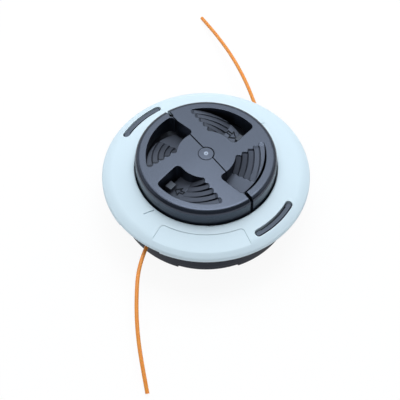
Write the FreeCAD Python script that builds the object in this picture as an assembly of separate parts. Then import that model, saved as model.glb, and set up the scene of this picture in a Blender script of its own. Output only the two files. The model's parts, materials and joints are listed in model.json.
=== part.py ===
"""Bump feed trimmer head: casing, clip-on cover ring, two-chamber spool, winding knob and its line.

Millimetres. The drive side lies on z = 0 and the knob points up +Z. The head spins about the Z axis.
"""
import FreeCAD, Part
import math
import os
from FreeCAD import Vector

# Clearances shared by the pieces that meet
RUN_GAP = 0.1          # journal between spool sleeve and drive post, on the radius
FIT_GAP = 0.25         # parts that are pushed together by hand
CAM_GAP = 0.4          # axial play between cams and what they pass
KNOB_GAP = 0.7         # knob skirt inside the cover's opening
OVER = 1.0             # how far a cut runs past the face that it opens

# Upper casing
FLOOR_T = 5.0
CASE_T = 2.6
CASE_CORNER = 3.0
HUB_R = 18.0
DRIVE_RIB_COUNT = 12
DRIVE_RIB_W = 2.4
DRIVE_RIM_W = 8.4
DRIVE_RECESS_DEPTH = 1.6
CASE_FLANGE_T = 1.8
PANEL_DEPTH = 0.8
PANEL_H = 6.0
PANEL_ANGLE = -88.0
PANEL_SPAN = 40.0

# Drive post with its threaded insert, M10 x 1 left hand
THREAD_MINOR_R = 4.46
INSERT_AF = 15.0
INSERT_SETBACK = 0.5
POST_R = 11.0
POST_ROOF = 1.2

# Bump spring and the travel that it allows
BUMP_TRAVEL = 5.0
SPRING_WIRE = 1.4
SPRING_TURNS = 4.0
SPRING_SEAT_T = 2.4
SPRING_SIDE_GAP = 0.9

# Feed cams: one ring over the spool and one under it
CAM_COUNT = 6
CAM_H = 2.5
CAM_W = 3.8
CAM_SPAN = 13.0
CAM_OFFSET = 15.0
CAM_EDGE = 0.6         # flange left outside the cams

# Spool
SLEEVE_T = 1.6
DRUM_T = 6.0
FLANGE_T = 1.6
CHAMBER_H = 6.0
WEB_T = 1.6
TUNNEL_R = 1.9
TUNNEL_WALL = 1.4

# Trimmer line
LINE_D = 2.4
LINE_ROOM = 3.2
WOUND_DEPTH = 14.0
WOUND_ROWS = 2

# Line eyelets in the casing wall
EYELET_ANGLE = 51.0
EYELET_BORE_R = 2.8
EYELET_FLARE = 2.8
EYELET_WALL = 0.9
EYELET_LIP = 0.4
EYELET_PAD = 1.2

# Cover ring
COVER_R = 64.0         # largest radius of the head, which the other radii follow
COVER_T = 2.4
COVER_OVERHANG = 9.6   # rim outside the casing's wall
COVER_RISE = 8.7       # opening's edge above the rim
COVER_LIP = 2.0
SHOULDER_W = 4.2
SHOULDER_ROUND = 12.0
SHOULDER_RISE = 4.9
SEAT_RISE = 2.4
RIM_T = 2.4
RELIEF_H = 1.0
RELIEF_SPAN = 28.0
MARK_W = 0.5
MARK_DEPTH = 0.4
MARK_LENGTH = 6.6
MARK_ANGLE = 45.2
MARK_INSET = 4.1       # mark's middle outside the opening
MARK_TILT = -26.5
PLAQUE_ANGLE = -92.5
PLAQUE_SPAN = 58.0
PLAQUE_W = 10.3
PLAQUE_DEPTH = 0.4
PLAQUE_CORNER = 2.5

# Snap latches: tabs of the casing that stand in slots of the cover
LATCH_ANGLE = 138.0
LATCH_SPAN = 28.5      # between the centres of the slot's round ends
LATCH_INSET = 3.5      # slot's middle inside the shoulder
LATCH_W = 4.6
LATCH_GAP = 0.4
LATCH_EDGE = 0.9
LATCH_LEDGE = 1.0
LATCH_LEDGE_T = 1.3
LATCH_LEDGE_SPAN = 25.0
LATCH_SINK = 0.8
LATCH_THUMB_DEPTH = 1.0
LATCH_THUMB_SPAN = 24.0
LATCH_SLIT_W = 1.2
LATCH_SLIT_DEPTH = 11.0

# Winding knob in two halves
KNOB_DRAFT = 0.15
KNOB_H = 18.7
KNOB_CROWN = 1.5       # fall of the top from its middle to the edge
KNOB_EDGE = 3.2
KNOB_T = 2.2
SEAM_ANGLE = 127.6
SEAM_OFFSET = 1.4
SEAM_W = 0.5
BOSS_R = 4.8
BOSS_LINE_W = 0.3
BOSS_LINE_DEPTH = 0.45
DIMPLE_R = 2.0
DIMPLE_DEPTH = 0.5
NOTCH_W = 2.0

# Four finger pockets, each a stepped ramp that falls clockwise to a deep end wall
POCKET_COUNT = 4
POCKET_IN_R = 17.9
POCKET_RIM_W = 6.7
POCKET_STEPS = 5
STEP_BULGE = 1.2           # rounding of a step's shallow end
POCKET_WALL = 1.6
POCKET_EDGE_ANGLE = 37.0   # direction square to the straight shallow edge
POCKET_EDGE_DIST = 12.3
DEEP_WALL_ANGLE = 48.9     # direction along the deep end wall
DEEP_WALL_OFFSET = 7.64
DEEP_CORNER = 2.8
RAMP_END_ANGLE = 62.0      # where the steps run out into the smooth floor
RAMP_DEPTH = 8.5           # under the knob's highest point
FLOOR_SLOPE = 0.3
FLOOR_SLOT = 2.4           # gap between the floor's end and the deep wall
FLOOR_EDGE_NARROWING = 6.0
FLOOR_EDGE_MIDDLE = 67.0   # where half of the narrowing is reached
FLOOR_EDGE_END = 40.0
GROOVE_W = 0.7
GROOVE_DEPTH = 0.7

# Snap posts of the spool, seen in the deep ends of two opposite pockets
SNAP_INSET = 9.1           # inside the pocket's outer wall, along the deep wall
SNAP_FROM_WALL = 3.1
SNAP_W = 5.0
SNAP_T = 3.4
SNAP_HEAD = 2.2
SNAP_HOOK = 1.0

# Free line ends: points that follow the line as it leaves and sinks, in plan from its eyelet's middle
ARC_SHARE = 0.45           # of the shorter run, taken by the arc at each point
FRONT_ROUTE = [
    (1.35, 1.8, 20.7), (-2.3, -8.7, 20.7), (-6.4, -24.0, 18.7), (-6.8, -39.1, 16.3), (-6.3, -53.3, 13.2),
    (-4.7, -67.2, 9.9), (-1.9, -81.6, 5.9), (1.0, -94.7, 1.4),
]
REAR_ROUTE = [
    (-0.7, -2.3, 21.3), (0.7, 10.0, 21.3), (-2.6, 24.5, 20.2), (-6.7, 40.9, 17.8), (-11.7, 57.3, 14.8),
    (-17.8, 74.3, 11.4), (-25.3, 91.9, 7.5), (-31.3, 104.6, 4.4), (-37.0, 116.2, 1.4),
]

# Radii that follow
SLEEVE_R = POST_R + RUN_GAP
SPRING_IN_R = SLEEVE_R + SLEEVE_T + SPRING_SIDE_GAP
SPRING_R = SPRING_IN_R + SPRING_WIRE / 2
DRUM_IN_R = SPRING_IN_R + SPRING_WIRE + SPRING_SIDE_GAP
DRUM_R = DRUM_IN_R + DRUM_T
CASE_R = COVER_R - COVER_OVERHANG
CASE_IN_R = CASE_R - CASE_T
CASE_FLANGE_R = COVER_R - RIM_T - FIT_GAP
DRIVE_RECESS_R = CASE_R - DRIVE_RIM_W
FLANGE_R = CASE_IN_R - LINE_ROOM
CAM_OUT_R = FLANGE_R - CAM_EDGE
CAM_IN_R = CAM_OUT_R - CAM_W
COVER_IN_R = CAM_IN_R - CAM_GAP
SHOULDER_R = COVER_R - SHOULDER_W
LATCH_R = SHOULDER_R - LATCH_INSET
LATCH_FOOT_R = LATCH_R + LATCH_W / 2 - LATCH_LEDGE - LATCH_GAP
PLAQUE_R = SHOULDER_R - PLAQUE_W
KNOB_R = COVER_IN_R - KNOB_GAP
KNOB_TOP_R = KNOB_R - KNOB_DRAFT
POCKET_OUT_R = KNOB_R - POCKET_RIM_W
SNAP_ALONG = POCKET_OUT_R - SNAP_INSET
COVER_SLOPE = (COVER_RISE - SHOULDER_RISE) / (SHOULDER_R - COVER_IN_R)
STEP_W = (POCKET_OUT_R - POCKET_IN_R) / POCKET_STEPS

# Eyelet seat that follows: a flat pad on the casing wall, between these distances from the axis
EYELET_BODY_R = EYELET_BORE_R + EYELET_FLARE / 4 + EYELET_WALL
EYELET_FLANGE_R = EYELET_BORE_R + EYELET_FLARE + EYELET_LIP
EYELET_PAD_R = EYELET_FLANGE_R + EYELET_PAD
PAD_IN = math.sqrt(CASE_IN_R**2 - EYELET_PAD_R**2) - FIT_GAP / 2
PAD_OUT = CASE_R + FIT_GAP
EYELET_R = (PAD_IN + PAD_OUT) / 2

# Heights that follow, from the casing floor up
SPOOL_Z = FLOOR_T + CAM_H + BUMP_TRAVEL + CAM_GAP
LINE_Z = SPOOL_Z + 1.5 * FLANGE_T + CHAMBER_H
SPOOL_TOP = SPOOL_Z + 3 * FLANGE_T + 2 * CHAMBER_H
WEB_Z = LINE_Z - TUNNEL_R - TUNNEL_WALL - WEB_T / 2
POST_TOP = WEB_Z - BUMP_TRAVEL - CAM_GAP
RIM_Z = (SPOOL_TOP + CAM_H + CAM_GAP + COVER_T + COVER_SLOPE * (CAM_OUT_R - COVER_IN_R)
         - COVER_RISE)
SEAT_Z = RIM_Z + SEAT_RISE
KNOB_TOP = SPOOL_TOP + KNOB_H
BIG = 4 * COVER_R


def polar(radius, angle, z=0.0):
    """Point at a radius and an angle in degrees."""
    turn = math.radians(angle)
    return Vector(radius * math.cos(turn), radius * math.sin(turn), z)


def turned(shape, angle):
    """Copy of a shape, turned about the head's axis."""
    copy = shape.copy()
    copy.rotate(Vector(), Vector(0, 0, 1), angle)
    return copy


def rounded(corners):
    """Closed wire through (point, radius) corners, each rounded by a tangent arc of its radius."""
    edges, count, ends = [], len(corners), []
    for i, (point, radius) in enumerate(corners):
        before = (corners[i - 1][0] - point).normalize()
        after = (corners[(i + 1) % count][0] - point).normalize()
        half = before.getAngle(after) / 2
        if radius == 0:
            ends.append((point, point, None))
            continue
        reach = radius / math.tan(half)
        middle = (before + after).normalize() * (radius / math.sin(half) - radius)
        ends.append((point + before * reach, point + after * reach, point + middle))
    for i, (start, end, middle) in enumerate(ends):
        if middle is not None:
            edges.append(Part.Arc(start, middle, end).toShape())
        following = ends[(i + 1) % count][0]
        if end.distanceToPoint(following) > 1e-6:
            edges.append(Part.LineSegment(end, following).toShape())
    return Part.Wire(edges)


def lathe(profile):
    """Solid of revolution about Z from (radius, height) or (radius, height, rounding) points."""
    corners = [(Vector(p[0], 0, p[1]), p[2] if len(p) > 2 else 0) for p in profile]
    return Part.Face(rounded(corners)).revolve(Vector(), Vector(0, 0, 1), 360)


def disc(radius, low, high):
    """Upright cylinder on the head's axis."""
    return Part.makeCylinder(radius, high - low, Vector(0, 0, low))


def ring(inner, outer, low, high):
    """Upright tube on the head's axis."""
    return disc(outer, low, high).cut(disc(inner, low, high))


def sector(inner, outer, start, end, low, high):
    """Piece of a ring between two angles."""
    wedge = Part.makeCylinder(outer, high - low, Vector(0, 0, low), Vector(0, 0, 1), end - start)
    return turned(wedge.cut(disc(inner, low - OVER, high + OVER)), start)


def arc_slot(radius, width, span, low, high):
    """Curved bar with round ends, centred on +X; span is the angle between its end centres."""
    inner, outer, half = radius - width / 2, radius + width / 2, span / 2
    edges = [
        Part.Arc(polar(outer, -half), polar(outer, 0), polar(outer, half)).toShape(),
        Part.Arc(polar(outer, half), polar(radius, half) + polar(width / 2, half + 90),
                 polar(inner, half)).toShape(),
        Part.Arc(polar(inner, half), polar(inner, 0), polar(inner, -half)).toShape(),
        Part.Arc(polar(inner, -half), polar(radius, -half) + polar(width / 2, -half - 90),
                 polar(outer, -half)).toShape(),
    ]
    bar = Part.Face(Part.Wire(edges)).extrude(Vector(0, 0, high - low))
    bar.translate(Vector(0, 0, low))
    return bar


def bar_along(angle, start, end, offset, width, low, high):
    """Straight bar along an angle, its middle an offset to the left of the axis."""
    bar = Part.makeBox(end - start, width, high - low, Vector(start, offset - width / 2, low))
    return turned(bar, angle)


def above(height, angle, slope):
    """Half space over a plane that holds a radial line and falls clockwise from it."""
    space = Part.makeBox(2 * BIG, 2 * BIG, BIG, Vector(-BIG, -BIG, 0))
    space.rotate(Vector(), Vector(1, 0, 0), math.degrees(math.atan(slope)))
    space.translate(Vector(0, 0, height))
    return turned(space, angle)


def upright_edges(shape):
    """Edges of a shape that run straight up."""
    return [e for e in shape.Edges if abs(e.tangentAt(e.FirstParameter).z) > 0.99]


def cams(inner, outer, low, high, offset):
    """Ring of feed cams."""
    cam = sector(inner, outer, offset - CAM_SPAN / 2, offset + CAM_SPAN / 2, low, high)
    pitch = 360 / CAM_COUNT
    return cam.multiFuse([turned(cam, i * pitch) for i in range(1, CAM_COUNT)])


def cover_top(radius):
    """Height of the cover's conical top at a radius."""
    return RIM_Z + COVER_RISE - COVER_SLOPE * (radius - COVER_IN_R)


def on_both_sides(shape, angle):
    """A feature at an angle, and the same one across the axis."""
    return [turned(shape, angle), turned(shape, angle + 180)]


def across(shape):
    """Shape of revolution about Z, laid along +X at the height of the line."""
    shape.rotate(Vector(), Vector(0, 1, 0), 90)
    shape.translate(Vector(0, 0, LINE_Z))
    return shape


def casing_shell(radius):
    """Outer form of the casing, filled, for a wall radius."""
    return lathe([
        (0, 0), (radius, 0, CASE_CORNER), (radius, SEAT_Z - CASE_FLANGE_T),
        (CASE_FLANGE_R, SEAT_Z - CASE_FLANGE_T), (CASE_FLANGE_R, SEAT_Z), (0, SEAT_Z),
    ])


def casing_hollow():
    """Room inside the casing: spool chamber, spring seat and the drive post that stays."""
    return lathe([
        (POST_R, SPRING_SEAT_T), (DRUM_IN_R, SPRING_SEAT_T), (DRUM_IN_R, FLOOR_T),
        (CASE_IN_R, FLOOR_T, CASE_CORNER - CASE_T), (CASE_IN_R, SEAT_Z + OVER), (0, SEAT_Z + OVER),
        (0, POST_TOP), (POST_R, POST_TOP),
    ])


def hexagon(across_flats, low, high):
    """Upright hexagonal bar."""
    corner = across_flats / math.sqrt(3)
    points = [polar(corner, 60 * i, low) for i in range(7)]
    return Part.Face(Part.makePolygon(points)).extrude(Vector(0, 0, high - low))


def latch_ledge(gap):
    """Ledge in the outer side of the cover's slot on +X; with a gap, the room for it in the tab."""
    outer = LATCH_R + LATCH_W / 2
    half = LATCH_LEDGE_SPAN / 2 + math.degrees(gap / outer)
    return sector(outer - LATCH_LEDGE - gap, outer + OVER, -half, half,
                  RIM_Z - OVER, SEAT_Z + LATCH_LEDGE_T + gap)


def latch_tab():
    """Snap tab on +X: it stands in the cover's slot and hooks over the ledge inside it."""
    low, top = SEAT_Z - CASE_FLANGE_T, cover_top(LATCH_R) - LATCH_SINK
    width = LATCH_W - 2 * LATCH_GAP
    tab = arc_slot(LATCH_R, width, LATCH_SPAN, low, top)
    rim = [e for e in tab.Edges if e.BoundBox.ZMin > top - FIT_GAP]
    tab = tab.makeFillet(LATCH_EDGE, rim)
    thumb_r = LATCH_R - width / 2
    half = LATCH_THUMB_SPAN / 2
    thumb = sector(thumb_r - OVER, thumb_r + LATCH_THUMB_DEPTH, -half, half,
                   SEAT_Z + LATCH_LEDGE_T, top + OVER)
    return tab.cut(latch_ledge(LATCH_GAP)).cut(thumb)


def upper_casing():
    """One moulding: cup wall, ribbed drive side, post, eyelet pads, latch tabs and lower cams."""
    body = casing_shell(CASE_R)
    half = PANEL_SPAN / 2
    skin = body.cut(casing_shell(CASE_R - PANEL_DEPTH))
    panel = sector(HUB_R, CASE_R + OVER, -half, half, -OVER, PANEL_H)
    body = body.cut(Part.makeCompound([skin.common(p) for p in on_both_sides(panel, PANEL_ANGLE)]))
    body = body.cut(casing_hollow())
    pad = across(disc(EYELET_PAD_R, PAD_IN, PAD_OUT))
    hole = across(disc(EYELET_BODY_R, PAD_IN - OVER, PAD_OUT + OVER))
    body = body.multiFuse(on_both_sides(pad, EYELET_ANGLE))
    body = body.cut(Part.makeCompound(on_both_sides(hole, EYELET_ANGLE)))
    slit_at = LATCH_SPAN / 2 + math.degrees((LATCH_W / 2 + LATCH_SLIT_W / 2) / LATCH_R)
    slit = bar_along(0, CASE_IN_R - OVER, CASE_FLANGE_R + OVER, 0, LATCH_SLIT_W,
                     SEAT_Z - LATCH_SLIT_DEPTH, SEAT_Z + OVER)
    relief = sector(LATCH_FOOT_R, CASE_FLANGE_R + OVER, -slit_at, slit_at,
                    SEAT_Z - CASE_FLANGE_T - OVER, SEAT_Z + OVER)
    gap = relief.multiFuse([turned(slit, slit_at), turned(slit, -slit_at)])
    body = body.cut(Part.makeCompound(on_both_sides(gap, LATCH_ANGLE)))
    body = body.multiFuse(on_both_sides(latch_tab(), LATCH_ANGLE))
    recess = ring(HUB_R, DRIVE_RECESS_R, -OVER, DRIVE_RECESS_DEPTH)
    pitch = 360 / DRIVE_RIB_COUNT
    ribs = [bar_along(i * pitch, 0, CASE_R, 0, DRIVE_RIB_W, -OVER, DRIVE_RECESS_DEPTH)
            for i in range(DRIVE_RIB_COUNT)]
    body = body.cut(recess.cut(Part.makeCompound(ribs)))
    body = body.cut(hexagon(INSERT_AF, -OVER, POST_TOP - POST_ROOF))
    return body.fuse(cams(CAM_IN_R, CAM_OUT_R, FLOOR_T - OVER, FLOOR_T + CAM_H, 0))


def thread_insert():
    """Steel hexagon moulded into the post, bored for the drive shaft's thread."""
    top = POST_TOP - POST_ROOF
    return hexagon(INSERT_AF, INSERT_SETBACK, top).cut(disc(THREAD_MINOR_R, 0, top + OVER))


def line_eyelet():
    """Rolled steel eyelet on +X, flared both ways so that the line bends over a round edge."""
    middle = EYELET_R
    half_pad = (PAD_OUT - PAD_IN) / 2
    mouth_r = EYELET_BORE_R + EYELET_FLARE
    edge = half_pad + EYELET_LIP + EYELET_WALL
    blank = lathe([
        (0, middle - edge), (EYELET_FLANGE_R, middle - edge, EYELET_LIP),
        (EYELET_FLANGE_R, middle - half_pad), (EYELET_BODY_R, middle - half_pad),
        (EYELET_BODY_R, middle + half_pad), (EYELET_FLANGE_R, middle + half_pad),
        (EYELET_FLANGE_R, middle + edge, EYELET_LIP), (0, middle + edge),
    ])
    throat = Part.Arc(Vector(mouth_r, 0, middle - edge), Vector(EYELET_BORE_R, 0, middle),
                      Vector(mouth_r, 0, middle + edge)).toShape()
    corners = [Vector(mouth_r, 0, middle + edge), Vector(0, 0, middle + edge),
               Vector(0, 0, middle - edge), Vector(mouth_r, 0, middle - edge)]
    sides = [Part.LineSegment(a, b).toShape() for a, b in zip(corners, corners[1:])]
    bore = Part.Face(Part.Wire([throat] + sides)).revolve(Vector(), Vector(0, 0, 1), 360)
    return across(blank.cut(bore))


def cover_plaque():
    """Shallow bare panel in the cover's top, with round corners."""
    half = PLAQUE_SPAN / 2
    block = sector(PLAQUE_R, COVER_R, -half, half, RIM_Z, KNOB_TOP)
    corners = [e for e in upright_edges(block) if e.CenterOfMass.x < PLAQUE_R]
    block = block.makeFillet(PLAQUE_CORNER, corners)
    roof = lathe([
        (COVER_IN_R, cover_top(COVER_IN_R) - PLAQUE_DEPTH),
        (COVER_R, cover_top(COVER_R) - PLAQUE_DEPTH),
        (COVER_R, KNOB_TOP + OVER), (COVER_IN_R, KNOB_TOP + OVER),
    ])
    return turned(block.common(roof), PLAQUE_ANGLE)


def cover_ring():
    """Pale clip-on cover: rolled rim, conical top, latch slots, plaque, marks and upper cams."""
    inside = COVER_R - RIM_T
    shelf_r = LATCH_R - LATCH_W / 2 - COVER_T / 2
    body = lathe([
        (COVER_R, RIM_Z), (COVER_R, RIM_Z + COVER_LIP, COVER_LIP),
        (SHOULDER_R, RIM_Z + SHOULDER_RISE, SHOULDER_ROUND),
        (COVER_IN_R, RIM_Z + COVER_RISE, COVER_T / 4), (COVER_IN_R, RIM_Z + COVER_RISE - COVER_T),
        (shelf_r, cover_top(shelf_r) - COVER_T), (shelf_r, SEAT_Z), (inside, SEAT_Z), (inside, RIM_Z),
    ])
    slot = arc_slot(LATCH_R, LATCH_W, LATCH_SPAN, RIM_Z, KNOB_TOP).cut(latch_ledge(0))
    half = RELIEF_SPAN / 2
    relief = sector(CASE_R, COVER_R + OVER, -half, half, RIM_Z - OVER, RIM_Z + RELIEF_H)
    mark_r, mark_half = COVER_IN_R + MARK_INSET, MARK_LENGTH / 2
    mark = bar_along(MARK_TILT, -mark_half, mark_half, 0, MARK_W,
                     cover_top(mark_r + mark_half) - MARK_DEPTH, KNOB_TOP)
    mark.translate(Vector(mark_r, 0, 0))
    cuts = on_both_sides(slot, LATCH_ANGLE)
    cuts += on_both_sides(relief, EYELET_ANGLE) + on_both_sides(mark, MARK_ANGLE)
    cuts.append(cover_plaque())
    body = body.cut(Part.makeCompound(cuts))
    cam_ring = cams(CAM_IN_R, CAM_OUT_R, SPOOL_TOP + CAM_GAP, cover_top(CAM_OUT_R) - COVER_T / 2, 0)
    return body.fuse(cam_ring)


def snap_frame(point):
    """Place of a point given along the deep wall, away from it and up, in the first pocket."""
    along, away, z = point
    wall = polar(along, DEEP_WALL_ANGLE, z)
    return wall + polar(away - DEEP_WALL_OFFSET, DEEP_WALL_ANGLE + 90)


def snap_box(width, start, end, low, high):
    """Box on the snap post's centre line, between two distances from the first pocket's deep wall."""
    low_along, high_along = SNAP_ALONG - width / 2, SNAP_ALONG + width / 2
    corners = [(low_along, start), (high_along, start), (high_along, end), (low_along, end)]
    points = [snap_frame((along, away, low)) for along, away in corners]
    return Part.Face(Part.makePolygon(points + points[:1])).extrude(Vector(0, 0, high - low))


def floor_height(point):
    """Height of the smooth pocket floor under a point of the first pocket."""
    radius, angle = math.hypot(point.x, point.y), math.degrees(math.atan2(point.y, point.x))
    fall = radius * math.sin(math.radians(RAMP_END_ANGLE - angle))
    return KNOB_TOP - RAMP_DEPTH - FLOOR_SLOPE * fall


def snap_post():
    """Spool's snap post in the first pocket, its hook over the end of the pocket's floor."""
    near, far = SNAP_FROM_WALL - SNAP_T / 2, SNAP_FROM_WALL + SNAP_T / 2
    hook = floor_height(snap_frame((SNAP_ALONG - SNAP_W / 2, far + SNAP_HOOK, 0))) + CAM_GAP
    stem = snap_box(SNAP_W, near, far, SPOOL_TOP - FLANGE_T / 2, hook + SNAP_HEAD)
    return stem.fuse(snap_box(SNAP_W, near, far + SNAP_HOOK, hook, hook + SNAP_HEAD))


def spool():
    """Two-chamber spool: drum, three flanges, sleeve, line tunnel, cams and snap posts."""
    flanges = [ring(DRUM_IN_R, FLANGE_R, low, low + FLANGE_T)
               for low in (SPOOL_Z, LINE_Z - FLANGE_T / 2, SPOOL_TOP - FLANGE_T)]
    drum = ring(DRUM_IN_R, DRUM_R, SPOOL_Z, SPOOL_TOP)
    web = disc(DRUM_IN_R + DRUM_T / 2, WEB_Z, WEB_Z + WEB_T)
    sleeve_low = SPRING_SEAT_T + BUMP_TRAVEL + CAM_GAP
    sleeve = ring(SLEEVE_R, SLEEVE_R + SLEEVE_T, sleeve_low, WEB_Z + WEB_T / 2)
    tunnel_w = 2 * (TUNNEL_R + TUNNEL_WALL)
    reach = DRUM_IN_R + DRUM_T / 2
    tube = bar_along(SEAM_ANGLE, -reach, reach, 0, tunnel_w, WEB_Z + WEB_T / 2,
                     LINE_Z + TUNNEL_R + TUNNEL_WALL)
    body = drum.multiFuse(flanges + [web, sleeve, tube])
    bore = turned(across(disc(TUNNEL_R, -FLANGE_R, FLANGE_R)), SEAM_ANGLE)
    mouth = bar_along(0, DRUM_R, FLANGE_R + OVER, 0, 2 * TUNNEL_R, LINE_Z - FLANGE_T, LINE_Z + FLANGE_T)
    body = body.cut(Part.makeCompound([bore] + on_both_sides(mouth, SEAM_ANGLE)))
    upper = cams(CAM_IN_R, CAM_OUT_R, SPOOL_TOP - FLANGE_T / 2, SPOOL_TOP + CAM_H, CAM_OFFSET)
    lower = cams(CAM_IN_R, CAM_OUT_R, SPOOL_Z - CAM_H, SPOOL_Z + FLANGE_T / 2, CAM_OFFSET)
    return body.multiFuse([upper, lower] + on_both_sides(snap_post(), 0))


def line_winding(chamber):
    """Wound line in one chamber, as one ring with a ridge for each row of its outer turns."""
    low = SPOOL_Z + FLANGE_T + chamber * (CHAMBER_H + FLANGE_T) + RUN_GAP
    row = (CHAMBER_H - 2 * RUN_GAP) / WOUND_ROWS
    inner, outer = DRUM_R + RUN_GAP, DRUM_R + WOUND_DEPTH - LINE_D / 4
    high = low + WOUND_ROWS * row
    edges = []
    for i in range(WOUND_ROWS):
        start = low + i * row
        edges.append(Part.Arc(Vector(outer, 0, start), Vector(outer + LINE_D / 4, 0, start + row / 2),
                              Vector(outer, 0, start + row)).toShape())
    corners = [Vector(outer, 0, high), Vector(inner, 0, high), Vector(inner, 0, low),
               Vector(outer, 0, low)]
    edges += [Part.LineSegment(a, b).toShape() for a, b in zip(corners, corners[1:])]
    return Part.Face(Part.Wire(edges)).revolve(Vector(), Vector(0, 0, 1), 360)


def bump_spring():
    """Compression spring round the spool's sleeve: tilted half turns, with both ends ground flat."""
    rise = (WEB_Z - SPRING_SEAT_T) / SPRING_TURNS / 2
    crown = math.hypot(SPRING_R, rise / 2)
    edges, side, z = [], 1, SPRING_SEAT_T - rise
    while z < WEB_Z + rise:
        start, end = Vector(side * SPRING_R, 0, z), Vector(-side * SPRING_R, 0, z + rise)
        edges.append(Part.Arc(start, Vector(0, side * crown, z + rise / 2), end).toShape())
        side, z = -side, z + rise
    start = edges[0].valueAt(edges[0].FirstParameter)
    section = Part.Wire(Part.makeCircle(SPRING_WIRE / 2, start, Vector(0, 1, 0)))
    coil = Part.Wire(edges).makePipeShell([section], True, True)
    return coil.common(disc(2 * SPRING_R, SPRING_SEAT_T, WEB_Z))


def knob_top(radius):
    """Height of the knob's crowned top at a radius."""
    return KNOB_TOP - KNOB_CROWN * radius / KNOB_TOP_R


def step_radius(step):
    """Radius of a step's middle."""
    return POCKET_IN_R + (step + 0.5) * STEP_W


def step_end(step):
    """Angle where a step's ramp reaches the knob's top, on the pocket's straight shallow edge."""
    return POCKET_EDGE_ANGLE + math.degrees(math.acos(POCKET_EDGE_DIST / step_radius(step)))


def step_corner(step):
    """Angle where a step's side walls end and its round shallow end begins."""
    return step_end(step) - math.degrees(STEP_BULGE / step_radius(step))


def step_slope(step):
    """Fall of a step's ramp that brings it to the common depth where the steps run out."""
    radius = step_radius(step)
    fall = knob_top(radius) - (KNOB_TOP - RAMP_DEPTH)
    return fall / (radius * math.sin(math.radians(step_end(step) - RAMP_END_ANGLE)))


def step_space(step, grow):
    """Room over one step of the ramp, or its wall's outside when grown."""
    inner, end = POCKET_IN_R + step * STEP_W - grow, step_end(step)
    outer, beyond = inner + STEP_W + 2 * grow, math.degrees(grow / inner)
    corner = step_corner(step) + beyond
    middle = (RAMP_END_ANGLE + corner) / 2
    edges = [
        Part.Arc(polar(outer, RAMP_END_ANGLE), polar(outer, middle), polar(outer, corner)),
        Part.Arc(polar(outer, corner), polar((inner + outer) / 2, end + beyond), polar(inner, corner)),
        Part.Arc(polar(inner, corner), polar(inner, middle), polar(inner, RAMP_END_ANGLE)),
        Part.LineSegment(polar(inner, RAMP_END_ANGLE), polar(outer, RAMP_END_ANGLE)),
    ]
    plan = Part.Face(Part.Wire([edge.toShape() for edge in edges]))
    plan.translate(Vector(0, 0, SPOOL_TOP))
    space = plan.extrude(Vector(0, 0, KNOB_H + OVER))
    return space.common(above(knob_top(step_radius(step)) - grow, end, step_slope(step)))


def before_deep_wall(grow):
    """Half space on the pocket's side of its deep end wall."""
    space = Part.makeBox(2 * BIG, BIG, 2 * BIG, Vector(-BIG, -DEEP_WALL_OFFSET - grow, -BIG))
    return turned(space, DEEP_WALL_ANGLE)


def deep_end(grow):
    """Prism of the pocket's smooth end, its corners at the deep wall rounded."""
    prism = sector(POCKET_IN_R - grow, POCKET_OUT_R + grow, 0, RAMP_END_ANGLE, SPOOL_TOP, KNOB_TOP + OVER)
    prism = prism.common(before_deep_wall(grow))
    wall = polar(DEEP_WALL_OFFSET + grow, DEEP_WALL_ANGLE - 90)
    along = polar(1, DEEP_WALL_ANGLE)
    across_wall = polar(1, DEEP_WALL_ANGLE + 90)
    corners = []
    for edge in upright_edges(prism):
        middle = edge.CenterOfMass
        on_wall = abs((middle - wall).dot(across_wall)) < 0.01
        if on_wall and middle.dot(along) > 0:
            corners.append(edge)
    return prism.makeFillet(DEEP_CORNER + grow, corners)


def floor_space(grow):
    """Room over the smooth floor, or its wall's outside when grown."""
    return deep_end(grow).common(above(KNOB_TOP - RAMP_DEPTH - grow, RAMP_END_ANGLE, FLOOR_SLOPE))


def pocket_space(grow):
    """One finger pocket: ramp steps and smooth floor together."""
    steps = [step_space(step, grow) for step in range(POCKET_STEPS)]
    return floor_space(grow).multiFuse(steps)


def pocket_grooves():
    """Narrow grooves between the steps."""
    grooves = []
    for step in range(1, POCKET_STEPS):
        radius, end = POCKET_IN_R + step * STEP_W, step_end(step)
        stop = 2 * step_corner(step) - end
        slot = sector(radius - GROOVE_W / 2, radius + GROOVE_W / 2, RAMP_END_ANGLE, stop,
                      SPOOL_TOP, KNOB_TOP + OVER)
        low = knob_top(step_radius(step)) - GROOVE_DEPTH
        grooves.append(slot.common(above(low, end, step_slope(step))))
    return grooves


def floor_openings():
    """Crescent along the outer wall and slot along the deep wall, where the floor leaves gaps."""
    last = step_corner(POCKET_STEPS - 1)
    middle = polar(POCKET_OUT_R - FLOOR_EDGE_NARROWING / 2, FLOOR_EDGE_MIDDLE)
    end = polar(POCKET_OUT_R - FLOOR_EDGE_NARROWING, FLOOR_EDGE_END)
    edge = Part.Arc(polar(POCKET_OUT_R, last), middle, end).toShape().Curve
    height = KNOB_TOP - SPOOL_TOP
    floor = Part.makeCylinder(edge.Radius, height, Vector(edge.Center.x, edge.Center.y, SPOOL_TOP))
    outside = sector(POCKET_IN_R, POCKET_OUT_R, 0, last, SPOOL_TOP, KNOB_TOP).cut(floor)
    rounded_end = deep_end(0)
    ramp_side = sector(POCKET_IN_R, POCKET_OUT_R, RAMP_END_ANGLE, last, SPOOL_TOP, KNOB_TOP)
    crescent = outside.common(rounded_end.fuse(ramp_side))
    slot = rounded_end.cut(before_deep_wall(-FLOOR_SLOT))
    return [crescent, slot]


def snap_window():
    """Cut in the floor's end that lets a snap post through."""
    far = SNAP_FROM_WALL + SNAP_T / 2 + CAM_GAP
    return snap_box(SNAP_W + 2 * CAM_GAP, 0, far, SPOOL_TOP, KNOB_TOP - RAMP_DEPTH)


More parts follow.
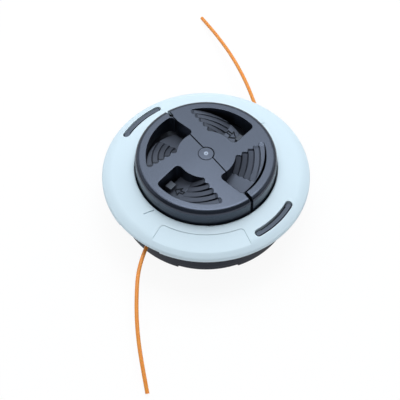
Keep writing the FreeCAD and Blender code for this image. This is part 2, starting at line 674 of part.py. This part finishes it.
def knob():
    """Whole winding knob before it is parted: drafted shell, four pocket tubs and the rim notches."""
    edge = knob_top(KNOB_TOP_R)
    outside = lathe([(0, SPOOL_TOP), (KNOB_R, SPOOL_TOP), (KNOB_TOP_R, edge, KNOB_EDGE), (0, KNOB_TOP)])
    inside = lathe([(0, SPOOL_TOP), (KNOB_R - KNOB_T, SPOOL_TOP),
                    (KNOB_TOP_R - KNOB_T, edge - KNOB_T, KNOB_EDGE / 2), (0, KNOB_TOP - KNOB_T)])
    turns = [i * 360 / POCKET_COUNT for i in range(POCKET_COUNT)]
    tub = pocket_space(POCKET_WALL).common(outside)
    body = outside.cut(inside).multiFuse([turned(tub, turn) for turn in turns])
    room = pocket_space(0).multiFuse(pocket_grooves() + floor_openings())
    clipped = room.fuse(snap_window())
    cuts = [turned(clipped if i % 2 == 0 else room, turn) for i, turn in enumerate(turns)]
    cuts.append(Part.makeSphere(DIMPLE_R, Vector(0, 0, KNOB_TOP + DIMPLE_R - DIMPLE_DEPTH)))
    cuts.append(ring(BOSS_R - BOSS_LINE_W / 2, BOSS_R + BOSS_LINE_W / 2,
                     KNOB_TOP - BOSS_LINE_DEPTH, KNOB_TOP + OVER))
    rim_w = KNOB_R + OVER - POCKET_OUT_R
    for start in (POCKET_OUT_R, -KNOB_R - OVER):
        cuts.append(bar_along(SEAM_ANGLE, start, start + rim_w, -SEAM_OFFSET, NOTCH_W,
                              SPOOL_TOP + KNOB_T, KNOB_TOP + OVER))
    return body.cut(Part.makeCompound(cuts))


def seam_side(offset, sign):
    """Half space on one side of the seam; sign -1 is the side of the plain half."""
    low = offset if sign > 0 else offset - BIG
    return turned(Part.makeBox(2 * BIG, BIG, 2 * BIG, Vector(-BIG, low, -BIG)), SEAM_ANGLE)


def knob_half_boss(whole):
    """Knob half that carries the centre boss."""
    side = seam_side(-SEAM_OFFSET + SEAM_W / 2, 1)
    return whole.common(side.fuse(disc(BOSS_R - SEAM_W / 2, SPOOL_TOP, KNOB_TOP)))


def knob_half_plain(whole):
    """Knob half that is cut back round the boss."""
    side = seam_side(-SEAM_OFFSET - SEAM_W / 2, -1)
    return whole.common(side.cut(disc(BOSS_R + SEAM_W / 2, SPOOL_TOP, KNOB_TOP)))


def line_end(name, eyelet_angle, route):
    """Free end of the line as a tube: straight runs joined by the largest tangent arcs they allow."""
    eyelet = polar(EYELET_R, eyelet_angle)
    points = [eyelet + Vector(*p) for p in route]
    edges, at, radii = [], points[0], []
    for before, point, after in zip(points, points[1:], points[2:]):
        back, ahead = before - point, after - point
        turn = math.pi - back.getAngle(ahead)
        radius = ARC_SHARE * min(back.Length, ahead.Length) / math.tan(turn / 2)
        reach = radius * math.tan(turn / 2)
        back.normalize()
        ahead.normalize()
        inward = (back + ahead).normalize() * (radius / math.cos(turn / 2) - radius)
        start, end = point + back * reach, point + ahead * reach
        edges += [Part.LineSegment(at, start).toShape(), Part.Arc(start, point + inward, end).toShape()]
        at = end
        radii.append(radius)
    edges.append(Part.LineSegment(at, points[-1]).toShape())
    path = Part.Wire(edges)
    section = Part.Wire(Part.makeCircle(LINE_D / 2, points[0], points[1] - points[0]))
    tube = path.makePipeShell([section], True, True)
    expected = math.pi * LINE_D**2 / 4 * path.Length
    print(name, "length", round(path.Length, 2), "radii", [round(r) for r in radii],
          "volume ratio", round(tube.Volume / expected, 5))
    return tube


def build():
    """Write one file for each piece."""
    whole = knob()
    front, rear = on_both_sides(line_eyelet(), EYELET_ANGLE + 180)
    pieces = {
        "upper_casing": upper_casing(),
        "thread_insert": thread_insert(),
        "eyelet_front": front,
        "eyelet_rear": rear,
        "cover_ring": cover_ring(),
        "spool": spool(),
        "bump_spring": bump_spring(),
        "line_winding_lower": line_winding(0),
        "line_winding_upper": line_winding(1),
        "knob_half_boss": knob_half_boss(whole),
        "knob_half_plain": knob_half_plain(whole),
        "line_end_front": line_end("line_end_front", EYELET_ANGLE + 180, FRONT_ROUTE),
        "line_end_rear": line_end("line_end_rear", EYELET_ANGLE, REAR_ROUTE),
    }
    os.makedirs("parts", exist_ok=True)
    for name, shape in pieces.items():
        shape = shape.removeSplitter()
        print(name, shape.ShapeType, "solids", len(shape.Solids), "valid", shape.isValid(),
              "volume", round(shape.Volume))
        shape.exportStep(os.path.join("parts", name + ".step"))


build()
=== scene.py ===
import bpy
import json
import math
from mathutils import Matrix, Vector


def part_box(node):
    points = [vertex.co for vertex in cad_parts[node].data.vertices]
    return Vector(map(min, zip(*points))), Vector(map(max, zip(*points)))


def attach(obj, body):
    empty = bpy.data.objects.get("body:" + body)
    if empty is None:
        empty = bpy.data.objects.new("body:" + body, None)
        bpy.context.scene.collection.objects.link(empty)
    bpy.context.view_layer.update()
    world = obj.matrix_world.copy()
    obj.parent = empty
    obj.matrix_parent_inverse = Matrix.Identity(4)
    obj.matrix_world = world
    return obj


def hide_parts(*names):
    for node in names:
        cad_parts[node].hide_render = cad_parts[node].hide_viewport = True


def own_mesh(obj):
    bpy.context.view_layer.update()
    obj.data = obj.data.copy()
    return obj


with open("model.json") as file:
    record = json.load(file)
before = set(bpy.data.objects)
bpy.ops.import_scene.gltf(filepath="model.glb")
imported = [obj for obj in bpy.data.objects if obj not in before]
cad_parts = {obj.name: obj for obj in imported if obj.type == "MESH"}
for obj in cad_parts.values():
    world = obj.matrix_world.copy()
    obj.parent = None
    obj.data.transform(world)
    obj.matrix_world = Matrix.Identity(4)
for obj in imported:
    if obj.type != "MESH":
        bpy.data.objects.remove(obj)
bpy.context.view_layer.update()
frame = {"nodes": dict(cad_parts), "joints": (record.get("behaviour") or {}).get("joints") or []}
nodes = frame["nodes"]


# Upper casing: the dark cup that everything else goes into, with the ribbed drive side under it.
# It is injection moulded in glass-filled nylon, so it is nearly black, satin and finely grained,
# and its edges are rubbed a little paler.
CASING_BLACK = (0.007, 0.009, 0.019, 1)
CASING_RUBBED = (0.030, 0.035, 0.056, 1)
CASING_SHEEN = (0.66, 0.80, 1.0, 1)
NOISE_MEAN = 0.5
CLOUD_SCALE = 38.0
CLOUD_WEAR = 0.25
CLOUD_GLOSS = 0.14
GRAIN_SCALE = 1500.0
GRAIN_GLOSS = 0.08
GRAIN_HEIGHT = 0.0001
EDGE_RADIUS = 0.0004
EDGE_WEAR = 2.5


class Wire:
    """A socket of a material's nodes. Arithmetic on it adds Math nodes."""

    def __init__(self, tree, socket=None):
        self.tree = tree
        self.socket = socket

    def add(self, kind, settings=None, sockets=None, output=0):
        """Add a node: its settings first, then the values or links of its sockets."""
        node = self.tree.nodes.new("ShaderNode" + kind)
        for name, value in (settings or {}).items():
            setattr(node, name, value)
        self.feed(node, sockets or {})
        return Wire(self.tree, node.outputs[output])

    def feed(self, node, sockets):
        """Link each of these sockets of a node to a wire, or set it to a value."""
        for name, value in sockets.items():
            if isinstance(value, Wire):
                self.tree.links.new(value.socket, node.inputs[name])
            else:
                node.inputs[name].default_value = value

    def source(self, node, name):
        """The wire that a socket of a node is linked to."""
        return Wire(self.tree, node.inputs[name].links[0].from_socket)

    def split(self):
        """The three numbers of a vector."""
        parts = self.add("SeparateXYZ", sockets={"Vector": self}).socket.node.outputs
        return [Wire(self.tree, part) for part in parts]

    def blend(self, share, first, second):
        """A colour between two colours, by the share of the second."""
        settings = {"data_type": "RGBA", "clamp_factor": True}
        return self.add("Mix", settings, {0: share, 6: first, 7: second}, 2)

    def math(self, operation, first, second=0.0):
        return self.add("Math", {"operation": operation}, {0: first, 1: second})

    def from_whole(self):
        """How far a number is from the nearest whole number."""
        return self.math("PINGPONG", self, 0.5)

    def __add__(self, other):
        return self.math("ADD", self, other)

    def __sub__(self, other):
        return self.math("SUBTRACT", self, other)

    def __rsub__(self, other):
        return self.math("SUBTRACT", other, self)

    def __mul__(self, other):
        return self.math("MULTIPLY", self, other)

    def __truediv__(self, other):
        return self.math("DIVIDE", self, other)

    def __lt__(self, other):
        return self.math("LESS_THAN", self, other)

    def __gt__(self, other):
        return self.math("GREATER_THAN", self, other)

    __radd__ = __add__
    __rmul__ = __mul__


def new_finish(name, pieces):
    """New material on these pieces: a wire into its nodes, and its shader."""
    material = bpy.data.materials.new(name)
    material.use_nodes = True
    for piece in pieces:
        piece.data.materials.clear()
        piece.data.materials.append(material)
    return Wire(material.node_tree), material.node_tree.nodes["Principled BSDF"]


def moulded_nylon(name, pieces, colour, rubbed_colour, sheen, roughness, grain, gloss,
                  edge_radius=EDGE_RADIUS):
    """Satin moulding: cloudy gloss, fine grain, soft edges rubbed paler. Gives wire and shader."""
    wire, shader = new_finish(name, pieces)
    place = wire.add("TexCoord", output="Object")
    cloud = wire.add("TexNoise", sockets={"Vector": place, "Scale": CLOUD_SCALE, "Detail": 3.0})
    speck = wire.add("TexNoise", sockets={"Vector": place, "Scale": GRAIN_SCALE, "Detail": 2.0})
    soft = wire.add("Bevel", {"samples": 8}, {"Radius": edge_radius})
    flat = wire.add("NewGeometry", output="Normal")
    along = wire.add("VectorMath", {"operation": "DOT_PRODUCT"}, {0: soft, 1: flat}, "Value")
    rubbed = (1 - along) * EDGE_WEAR + (cloud - NOISE_MEAN) * CLOUD_WEAR
    patchy = roughness + (cloud - NOISE_MEAN) * CLOUD_GLOSS
    grained = {"Height": speck, "Strength": grain, "Distance": GRAIN_HEIGHT, "Normal": soft}
    wire.feed(shader, {
        "Base Color": wire.blend(rubbed, colour, rubbed_colour),
        "Roughness": patchy + (speck - NOISE_MEAN) * GRAIN_GLOSS,
        "Normal": wire.add("Bump", sockets=grained),
        "Specular IOR Level": gloss,
        "Specular Tint": sheen,
    })
    return wire, shader


wire, shader = moulded_nylon("casing_nylon", [nodes["upper_casing"]], CASING_BLACK, CASING_RUBBED,
                             CASING_SHEEN, roughness=0.45, grain=0.35, gloss=0.18)

# The two latch tabs are what fingers press; their flat tops are painted paler, a painted sheen.
TAB_SHEEN_TONE = (0.100, 0.118, 0.150, 1)
TAB_TOP_DEPTH = 0.0001

height = wire.add("TexCoord", output="Object").split()[2]
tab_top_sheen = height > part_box("upper_casing")[1].z - TAB_TOP_DEPTH
wire.feed(shader, {"Base Color": wire.blend(tab_top_sheen, wire.source(shader, "Base Color"), TAB_SHEEN_TONE)})


# Thread insert: a steel hexagon that the drive post is moulded round, tapped for the drive shaft.
# Its ends are turned, and the fine left hand thread runs down its bore.
INSERT_STEEL = (0.52, 0.52, 0.53, 1)
TURNING_LINES = (900.0, 900.0, 60.0)
BORE_WALL = 0.0049
THREAD_PITCH = 0.001
THREAD_DEPTH = 0.0006
STAIN_SCALE = 220.0
STAIN_START = 0.35
STAIN_STEEPNESS = 1.4
STAIN_SHADE = 0.72
LINES_GLOSS = 0.22


def plain_steel(name, pieces, colour, roughness, line_scale):
    """Bare steel: fine lines in its gloss and a slight stain. Gives its wire, shader and place."""
    wire, shader = new_finish(name, pieces)
    place = wire.add("TexCoord", output="Object")
    stretch = wire.add("Mapping", sockets={"Vector": place, "Scale": line_scale})
    lines = wire.add("TexNoise", sockets={"Vector": stretch, "Scale": 1.0, "Detail": 4.0})
    stain = wire.add("TexNoise", sockets={"Vector": place, "Scale": STAIN_SCALE, "Detail": 3.0})
    stained = tuple(STAIN_SHADE * part for part in colour[:3]) + (1,)
    wire.feed(shader, {
        "Base Color": wire.blend((stain - STAIN_START) * STAIN_STEEPNESS, colour, stained),
        "Roughness": roughness + (lines - NOISE_MEAN) * LINES_GLOSS,
        "Metallic": 1.0,
    })
    return wire, shader, place


wire, shader, place = plain_steel("insert_steel", [nodes["thread_insert"]], INSERT_STEEL,
                                  roughness=0.34, line_scale=TURNING_LINES)
x, y, z = place.split()
turn = wire.math("ARCTAN2", y, x) / math.tau
thread = (z / THREAD_PITCH - turn).from_whole()
in_bore = wire.math("SQRT", x * x + y * y) < BORE_WALL
cut = {"Height": thread * in_bore, "Strength": 1.0, "Distance": THREAD_DEPTH}
wire.feed(shader, {"Normal": wire.add("Bump", sockets=cut)})


# Line eyelets: two steel sleeves rolled over the casing wall, where the line runs out.
# They are bare, and dull in patches from sap and dust.
EYELET_STEEL = (0.50, 0.50, 0.52, 1)
EYELET_LINES = (300.0, 300.0, 300.0)

plain_steel("eyelet_steel", [nodes["eyelet_front"], nodes["eyelet_rear"]], EYELET_STEEL,
            roughness=0.32, line_scale=EYELET_LINES)


# Bump spring: round steel wire wound round the spool's sleeve, with ends ground flat.
# It pushes the spool up, and closes up when the knob is bumped on the ground; this coil is drawn at
# its rest length.
SPRING_STEEL = (0.50, 0.50, 0.52, 1)
SPRING_LINES = (500.0, 500.0, 500.0)
SPRING_WIRE = 0.0014
SPRING_TURNS = 4
WIRE_SIDES = 14
TURN_STEPS = 40
MERGE_DISTANCE = 1e-6
SHARP_ANGLE = math.radians(40)
BUMP_TRAVEL = next(joint["range_m"][1] for joint in frame["joints"] if joint["name"] == "bump")

spring_low, spring_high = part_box("bump_spring")
coil_radius = spring_high.x - SPRING_WIRE / 2
coil_height = spring_high.z - spring_low.z
coil_pitch = coil_height / SPRING_TURNS
bpy.ops.object.select_all(action="DESELECT")
bpy.ops.mesh.primitive_circle_add(vertices=WIRE_SIDES, radius=SPRING_WIRE / 2,
                                  location=(coil_radius, 0, spring_low.z - coil_pitch / 2),
                                  rotation=(math.pi / 2, 0, 0))
spring_coil = bpy.context.object
spring_coil.name = "bump_spring_coil"
bpy.ops.object.transform_apply(location=True, rotation=True, scale=True)
winding = spring_coil.modifiers.new("winding", "SCREW")
winding.axis = "Z"
winding.angle = math.tau
winding.screw_offset = coil_pitch
winding.iterations = SPRING_TURNS + 1
winding.steps = TURN_STEPS
winding.render_steps = TURN_STEPS
bpy.ops.object.modifier_apply(modifier=winding.name)
bpy.ops.object.mode_set(mode="EDIT")
bpy.ops.mesh.select_all(action="SELECT")
bpy.ops.mesh.remove_doubles(threshold=MERGE_DISTANCE)
bpy.ops.mesh.bisect(plane_co=spring_low, plane_no=(0, 0, 1), use_fill=True, clear_inner=True)
bpy.ops.mesh.select_all(action="SELECT")
bpy.ops.mesh.bisect(plane_co=spring_high, plane_no=(0, 0, 1), use_fill=True, clear_outer=True)
bpy.ops.mesh.select_all(action="SELECT")
bpy.ops.mesh.normals_make_consistent(inside=False)
bpy.ops.object.mode_set(mode="OBJECT")
bpy.ops.object.shade_smooth_by_angle(angle=SHARP_ANGLE)
plain_steel("spring_steel", [spring_coil], SPRING_STEEL, roughness=0.30, line_scale=SPRING_LINES)
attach(spring_coil, "casing")
1 - BUMP_TRAVEL / coil_height
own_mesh(spring_coil)
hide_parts("bump_spring")


# Spool: the two-chamber reel that slides on the drive post, with its cams and clip posts.
# The same nylon as the casing, a little greyer and less handled.
SPOOL_GREY = (0.040, 0.044, 0.058, 1)
SPOOL_RUBBED = (0.070, 0.078, 0.100, 1)
COOL_SHEEN = (0.75, 0.88, 1.0, 1)

moulded_nylon("spool_nylon", [nodes["spool"]], SPOOL_GREY, SPOOL_RUBBED, COOL_SHEEN,
              roughness=0.42, grain=0.25, gloss=0.5)


# Wound line: the stock of line in the spool's two chambers, laid turn beside turn.
# Drawn nylon in orange, with a soft shine along each turn.
LINE_ORANGE = (0.82, 0.315, 0.060, 1)
LINE_DEEP = (0.78, 0.240, 0.035, 1)
LINE_ROUGHNESS = 0.36
LINE_GLOSS = 0.35
LINE_HAZE_SCALE = 90.0
LINE_HAZE_START = 0.3
LINE_HAZE_STEEPNESS = 1.1
LINE_HAZE_GLOSS = 0.12
LINE_GLOW = 0.25
LINE_GLOW_DEPTH = 0.0008
LINE_GLOW_REACH = (1.0, 0.35, 0.1)


def drawn_nylon(name, pieces):
    """Smooth extruded line: cloudy orange that light enters a little, with a low waxy shine."""
    wire, shader = new_finish(name, pieces)
    place = wire.add("TexCoord", output="Object")
    haze = wire.add("TexNoise", sockets={"Vector": place, "Scale": LINE_HAZE_SCALE, "Detail": 2.0})
    deep = (haze - LINE_HAZE_START) * LINE_HAZE_STEEPNESS
    wire.feed(shader, {
        "Base Color": wire.blend(deep, LINE_ORANGE, LINE_DEEP),
        "Roughness": LINE_ROUGHNESS + (haze - NOISE_MEAN) * LINE_HAZE_GLOSS,
        "Specular IOR Level": LINE_GLOSS,
        "Subsurface Weight": LINE_GLOW,
        "Subsurface Radius": LINE_GLOW_REACH,
        "Subsurface Scale": LINE_GLOW_DEPTH,
    })


drawn_nylon("wound_line_nylon", [nodes["line_winding_lower"], nodes["line_winding_upper"]])


# Cover ring: the pale ring that clips over the casing and keeps the spool in.
# Moulded in a light blue grey nylon, satin, with a bare plaque and the slots for the latch tabs.
COVER_PALE = (0.645, 0.775, 0.850, 1)
COVER_RUBBED = (0.705, 0.830, 0.895, 1)
COVER_SHEEN = (0.9, 0.96, 1.0, 1)

moulded_nylon("cover_nylon", [nodes["cover_ring"]], COVER_PALE, COVER_RUBBED, COVER_SHEEN,
              roughness=0.42, grain=0.2, gloss=0.5, edge_radius=0.0005)


# Winding knob: two black halves that clip to the spool, with four stepped finger pockets.
# They are moulded in nylon, and glossier than the casing, because the ground polishes their top.
KNOB_BLACK = (0.007, 0.009, 0.014, 1)
KNOB_RUBBED = (0.030, 0.036, 0.052, 1)
KNOB_SHEEN = (0.65, 0.76, 1.0, 1)

knob_halves = [nodes["knob_half_boss"], nodes["knob_half_plain"]]
wire, shader = moulded_nylon("knob_nylon", knob_halves, KNOB_BLACK, KNOB_RUBBED, KNOB_SHEEN,
                             roughness=0.24, grain=0.2, gloss=0.95, edge_radius=0.0006)

# The pockets keep the matt finish of the mould, because only the top is rubbed on the ground.
# Their floors and steps, which face up, are painted paler as painted light, and their walls stay
# black.
KNOB_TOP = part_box("knob_half_boss")[1].z
KNOB_CROWN = 0.035
POCKETS = 4
POCKET_RADIUS = 0.0368
POCKET_START = 0.0006
POCKET_MATT = 0.18
POCKET_LIT_TONE = (0.047, 0.053, 0.068, 1)
FACING_UP = 0.3

x, y, z = wire.add("TexCoord", output="Object").split()
from_axis = wire.math("SQRT", x * x + y * y)
below_top = KNOB_TOP - z - from_axis * KNOB_CROWN
in_pocket = (below_top > POCKET_START) * (from_axis < POCKET_RADIUS)
wire.feed(shader, {"Roughness": wire.source(shader, "Roughness") + in_pocket * POCKET_MATT})
# Faces in a pocket that point up get the paler tone: painted light.
upward = wire.add("NewGeometry", output="Normal").split()[2]
lit_upward = in_pocket * (upward > FACING_UP)
tone = wire.blend(lit_upward, wire.source(shader, "Base Color"), POCKET_LIT_TONE)

# The grooves between the steps of a pocket are painted nearly black, a painted shade for these deep
# slots.
GROOVE_START = 0.0179
GROOVE_SPACING = 0.0037
GROOVE_HALF = 0.0004
GROOVE_SHADE_TONE = (0.003, 0.003, 0.004, 1)
STEPS_BEGIN = math.radians(62)
STEPS_SPAN = math.radians(50)

from_groove = ((from_axis - GROOVE_START) / GROOVE_SPACING).from_whole() * GROOVE_SPACING
along = wire.math("FLOORED_MODULO", wire.math("ARCTAN2", y, x) - STEPS_BEGIN, math.tau / POCKETS)
groove_shade = (from_groove < GROOVE_HALF) * (along < STEPS_SPAN) * in_pocket
tone = wire.blend(groove_shade, tone, GROOVE_SHADE_TONE)

# The gate, where the plastic was let into the mould, is in the middle of the boss; a pale ring is
# painted there as a painted highlight.
GATE_RADIUS = 0.0009
GATE_HALF = 0.0004
GATE_DEPTH = 0.001
GATE_HIGHLIGHT_TONE = (0.42, 0.48, 0.58, 1)

from_gate = wire.math("ABSOLUTE", from_axis - GATE_RADIUS)
gate_highlight = (from_gate < GATE_HALF) * (z > KNOB_TOP - GATE_DEPTH)
wire.feed(shader, {"Base Color": wire.blend(gate_highlight, tone, GATE_HIGHLIGHT_TONE)})


# Winding arrows: the outline of an arrow stands on the floor of two opposite pockets, and points
# the way that the knob is wound. It is moulded with the knob, and painted nearly black as painted
# shade.
ARROW_SHADE_BLACK = (0.007, 0.008, 0.011, 1)
ARROW_SHADE_RUBBED = (0.012, 0.014, 0.018, 1)
ARROW_OUTLINE = [
    (-0.0031, -0.0011), (0.0, -0.0011), (0.0, -0.0033), (0.0044, 0.0), (0.0, 0.0033), (0.0, 0.0011),
    (-0.0031, 0.0011),
]
ARROW_ANGLE = math.radians(55.3)
ARROW_RADIUS = 0.0268
ARROW_LINE = 0.0006
ARROW_RISE = 0.0004
ARROW_SINK = 0.0001
FLOOR_DEPTH = 0.00845
FLOOR_SLOPE = 0.3

bpy.ops.object.select_all(action="DESELECT")
bpy.ops.mesh.primitive_circle_add(vertices=len(ARROW_OUTLINE), fill_type="NGON")
arrow = bpy.context.object
arrow.name = "winding_arrow_back"
for corner, (ahead, aside) in zip(arrow.data.vertices, ARROW_OUTLINE):
    corner.co = (ahead, aside, -ARROW_SINK)
bpy.ops.object.mode_set(mode="EDIT")
bpy.ops.mesh.select_all(action="SELECT")
bpy.ops.mesh.inset(thickness=ARROW_LINE)
bpy.ops.mesh.delete(type="ONLY_FACE")
bpy.ops.mesh.select_all(action="SELECT")
bpy.ops.mesh.extrude_region_move(TRANSFORM_OT_translate={"value": (0, 0, ARROW_RISE + ARROW_SINK)})
bpy.ops.mesh.select_all(action="SELECT")
bpy.ops.mesh.normals_make_consistent(inside=False)
bpy.ops.object.mode_set(mode="OBJECT")

# The floor falls clockwise from the end of the steps. The arrow lies on it and points down it.
floor_up = Vector((FLOOR_SLOPE * math.sin(STEPS_BEGIN), -FLOOR_SLOPE * math.cos(STEPS_BEGIN), 1))
floor_up.normalize()
clockwise = Vector((math.sin(ARROW_ANGLE), -math.cos(ARROW_ANGLE), 0))
downhill = (clockwise - floor_up * clockwise.dot(floor_up)).normalized()
floor_fall = FLOOR_SLOPE * ARROW_RADIUS * math.sin(STEPS_BEGIN - ARROW_ANGLE)
middle = Vector((ARROW_RADIUS * math.cos(ARROW_ANGLE), ARROW_RADIUS * math.sin(ARROW_ANGLE),
                 KNOB_TOP - FLOOR_DEPTH - floor_fall))
lie = Matrix((downhill, floor_up.cross(downhill), floor_up)).transposed()
arrow.matrix_world = Matrix.Translation(middle) @ lie.to_4x4()
bpy.ops.object.transform_apply(location=True, rotation=True, scale=True)
bpy.ops.object.duplicate()
opposite = bpy.context.object
opposite.name = "winding_arrow_front"
opposite.rotation_euler.z = math.pi
bpy.ops.object.transform_apply(location=True, rotation=True, scale=True)
moulded_nylon("arrow_nylon", [arrow, opposite], ARROW_SHADE_BLACK, ARROW_SHADE_RUBBED, COOL_SHEEN,
              roughness=0.5, grain=0.2, gloss=0.3, edge_radius=0.0002)
for piece in (arrow, opposite):
    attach(piece, "spool")


# Free line ends: the two ends that cut, stiff nylon line that leaves the eyelets and droops.
# They are cut square, and keep a little of the curl of the spool.
LINE_DIAMETER = 0.0024
FRONT_LENGTH = 0.100
FRONT_ROUTE = [
    (0.00135, 0.0018, 0.0207), (-0.0023, -0.0087, 0.0207), (-0.0064, -0.0240, 0.0187),
    (-0.0068, -0.0391, 0.0163), (-0.0063, -0.0533, 0.0132), (-0.0047, -0.0672, 0.0099),
    (-0.0019, -0.0816, 0.0059), (0.0010, -0.0947, 0.0014),
]
REAR_LENGTH = 0.127
REAR_ROUTE = [
    (-0.0007, -0.0023, 0.0213), (0.0007, 0.0100, 0.0213), (-0.0026, 0.0245, 0.0202),
    (-0.0067, 0.0409, 0.0178), (-0.0117, 0.0573, 0.0148), (-0.0178, 0.0743, 0.0114),
    (-0.0253, 0.0919, 0.0075), (-0.0313, 0.1046, 0.0044), (-0.0370, 0.1162, 0.0014),
]
ROUTE_ORDER = 3
ROUTE_STEPS = 10
ROUND_STEPS = 5


def line_end(name, eyelet, route):
    """One free end as a round tube on a curve from its eyelet's middle. Gives its exit too."""
    low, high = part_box(eyelet)
    middle = (low + high) / 2
    places = [(middle.x + x, middle.y + y, z) for x, y, z in route]
    curve = bpy.data.curves.new(name, "CURVE")
    curve.dimensions = "3D"
    spline = curve.splines.new("NURBS")
    spline.points.add(len(places) - 1)
    for point, place in zip(spline.points, places):
        point.co = (*place, 1)
    spline.order_u = ROUTE_ORDER
    spline.use_endpoint_u = True
    curve.resolution_u = ROUTE_STEPS
    curve.bevel_depth = LINE_DIAMETER / 2
    curve.bevel_resolution = ROUND_STEPS
    curve.use_fill_caps = True
    piece = bpy.data.objects.new(name, curve)
    bpy.context.scene.collection.objects.link(piece)
    return piece, places[0]


front_end, front_exit = line_end("front_line", "eyelet_front", FRONT_ROUTE)
rear_end, rear_exit = line_end("rear_line", "eyelet_rear", REAR_ROUTE)
drawn_nylon("line_end_nylon", [front_end, rear_end])
for end, start, node, length in ((front_end, front_exit, "line_end_front", FRONT_LENGTH),
                                 (rear_end, rear_exit, "line_end_rear", REAR_LENGTH)):
    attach(end, "casing")
    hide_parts(node)


# Stage: a plain pale floor, a wide soft light above and behind with a small lamp in it, dim panels
# further back and on both sides, and a weak fill from the front that no gloss shows.
# The floor keeps a light shadow.
FLOOR_SIZE = 9.0
FLOOR_DROP = 0.0002
FLOOR_TONE = (0.95, 0.955, 0.96, 1)
SHADOW_LIFT = 0.92
WHITE_RAYS = ("Is Camera Ray", "Is Glossy Ray", "Is Transmission Ray")

bpy.ops.object.select_all(action="DESELECT")
bpy.ops.mesh.primitive_plane_add(size=FLOOR_SIZE, location=(0, 0, -FLOOR_DROP))
floor = bpy.context.object
floor.name = "floor"
wire, shader = new_finish("floor_paper", [floor])
wire.feed(shader, {"Base Color": FLOOR_TONE, "Roughness": 0.9, "Specular IOR Level": 0.1})
rays = wire.add("LightPath").socket.node.outputs
by_camera, by_gloss, by_glass = (Wire(wire.tree, rays[name]) for name in WHITE_RAYS)
seen = wire.math("MAXIMUM", wire.math("MAXIMUM", by_camera, by_gloss), by_glass)
paper = Wire(wire.tree, shader.outputs["BSDF"])
white = wire.add("Emission", sockets={"Color": (1, 1, 1, 1), "Strength": 1.0})
lifted = wire.add("MixShader", sockets={0: seen * SHADOW_LIFT, 1: paper, 2: white})
wire.feed(wire.tree.nodes["Material Output"], {"Surface": lifted})

SKY_TONE = (0.93, 0.96, 1.0, 1)
SKY_STRENGTH = 0.14

world = bpy.data.worlds.new("studio")
world.use_nodes = True
bpy.context.scene.world = world
background = world.node_tree.nodes["Background"]
background.inputs["Color"].default_value = SKY_TONE
background.inputs["Strength"].default_value = SKY_STRENGTH

COOL_WHITE = (0.93, 0.97, 1.0)
SOFT_WHITE = (0.96, 0.98, 1.0)


def softbox(name, place, width, depth, power, colour):
    """Soft light with a rectangular face that looks at the head."""
    light = bpy.data.lights.new(name, "AREA")
    light.shape = "RECTANGLE"
    light.size = width
    light.size_y = depth
    light.energy = power
    light.color = colour
    lamp = bpy.data.objects.new(name, light)
    lamp.location = place
    lamp.rotation_euler = (-Vector(place)).to_track_quat("-Z", "Y").to_euler()
    bpy.context.scene.collection.objects.link(lamp)
    return lamp


softbox("key_softbox", (0.05, 0.50, 1.15), width=1.3, depth=1.1, power=9.6, colour=COOL_WHITE)
softbox("top_lamp", (0.10, 0.36, 1.16), width=0.6, depth=0.4, power=3.0, colour=SOFT_WHITE)
softbox("back_panel", (-0.1, 1.6, 0.95), width=4.4, depth=1.8, power=12.5, colour=COOL_WHITE)
softbox("left_panel", (-1.4, 0.4, 0.9), width=1.6, depth=1.2, power=3.0, colour=COOL_WHITE)
softbox("right_panel", (1.4, 0.4, 0.9), width=1.6, depth=1.2, power=3.0, colour=COOL_WHITE)
fill = softbox("front_fill", (-0.1, -0.65, 1.1), width=1.2, depth=1.2, power=4.8, colour=SOFT_WHITE)
fill.visible_glossy = False


# Camera: looks down on the head from the front, its line of sight through the cover's rim,
# and points a little low and left of it so that the head stands where the photograph has it.
VIEW_ELEVATION = math.radians(53.69)
VIEW_DISTANCE = 0.70
VIEW_LENS = 102.08
RIM_HEIGHT = 0.0273
AIM_LEFT = 0.00356
AIM_BELOW = 0.01606

target = Vector((0, 0, RIM_HEIGHT))
back = Vector((0, -math.cos(VIEW_ELEVATION), math.sin(VIEW_ELEVATION)))
up = Vector((0, math.sin(VIEW_ELEVATION), math.cos(VIEW_ELEVATION)))
camera = bpy.data.objects.new("camera", bpy.data.cameras.new("camera"))
camera.data.lens = VIEW_LENS
camera.location = target + back * VIEW_DISTANCE
aim = target - Vector((AIM_LEFT, 0, 0)) - up * AIM_BELOW
camera.rotation_euler = (aim - camera.location).to_track_quat("-Z", "Y").to_euler()
bpy.context.scene.collection.objects.link(camera)
bpy.context.scene.camera = camera
bpy.context.scene.view_settings.view_transform = "Standard"
